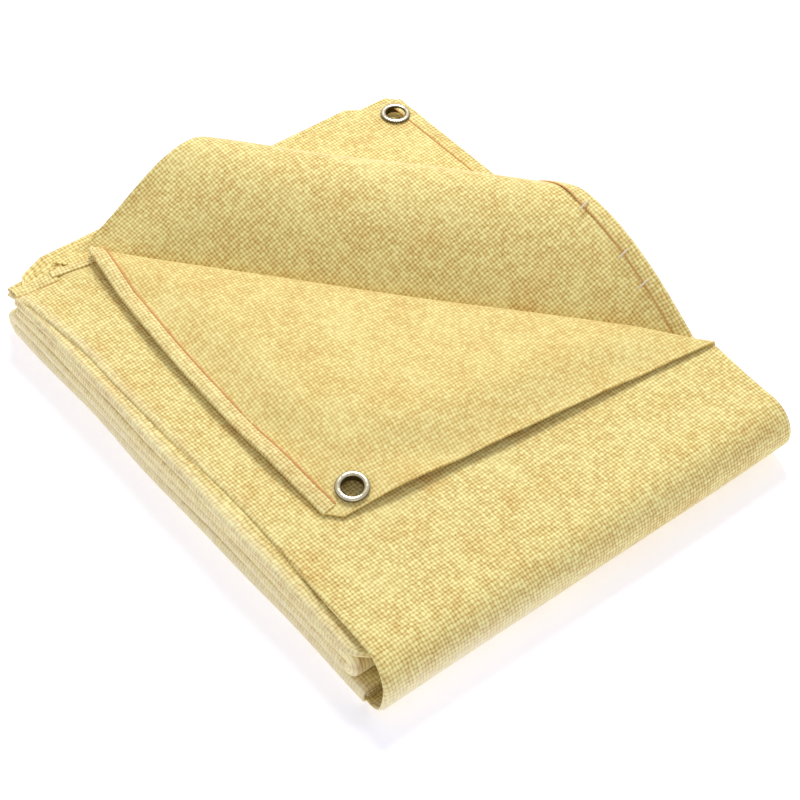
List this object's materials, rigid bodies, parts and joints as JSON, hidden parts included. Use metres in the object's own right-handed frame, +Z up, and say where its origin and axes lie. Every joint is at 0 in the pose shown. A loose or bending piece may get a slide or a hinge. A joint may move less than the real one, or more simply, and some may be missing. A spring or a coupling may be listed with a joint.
{
  "type": "fire blanket",
  "caption": "Folded woven glass-fibre fire blanket with hemmed edges and corner eyelets, its top corner turned back, that opens at its big fold.",
  "frame": {"origin": "middle of the pack on the surface it stands on", "axes": "+Z up, +Y from the big rounded fold towards the ends, +X from the folded side towards the hemmed side"},
  "size_m": [0.3123, 0.372, 0.0801],
  "materials": {
    "glass_cloth": "plain-woven golden glass-fibre cloth, matt with a slight thread sheen",
    "hem_cloth": "the same cloth turned over and sewn",
    "hem_thread": "orange-brown sewing thread",
    "tack_thread": "off-white sewing thread",
    "brass": "pressed, lightly nickelled brass"
  },
  "bodies": {
    "lower_half": {"bottom_leaf": "glass_cloth", "lower_middle_leaf": "glass_cloth", "end_fold": "glass_cloth", "outer_fold_lower": "glass_cloth", "inner_fold_lower": "glass_cloth"},
    "upper_half": {"upper_middle_leaf": "glass_cloth", "upper_leaf": "glass_cloth", "outer_fold_upper": "glass_cloth", "inner_fold_upper": "glass_cloth", "under_sheet": "glass_cloth", "top_sheet": "glass_cloth", "top_end_hem": "hem_cloth", "hidden_eyelet_1": "brass", "hidden_washer_1": "brass", "hidden_eyelet_2": "brass", "hidden_washer_2": "brass"},
    "under_corner_body": {"under_corner": "glass_cloth", "under_side_hem": "hem_cloth", "side_hem_thread": "hem_thread", "tack_stitch_1": "tack_thread", "tack_stitch_2": "tack_thread", "tack_stitch_3": "tack_thread", "under_eyelet": "brass", "under_washer": "brass"},
    "flap_body": {"corner_flap": "glass_cloth", "flap_end_hem": "hem_cloth", "end_hem_thread": "hem_thread", "flap_eyelet": "brass", "flap_washer": "brass"}
  },
  "joints": [
    {"name": "pack_fold", "type": "hinge", "parent": "lower_half", "child": "upper_half", "pos_m": [0, -0.186, 0.0198], "axis": [1, 0, 0], "range_deg": [0, 150]},
    {"name": "flap_fold", "type": "hinge", "parent": "upper_half", "child": "flap_body", "pos_m": [-0.0993, 0.1705, 0.042], "axis": [-0.663, 0.7486, 0], "range_deg": [0, 100]},
    {"name": "under_corner_fold", "type": "hinge", "parent": "upper_half", "child": "under_corner_body", "pos_m": [-0.09563, 0.17375, 0.0377], "axis": [0.663, -0.7486, 0], "range_deg": [0, 25]}
  ]
}
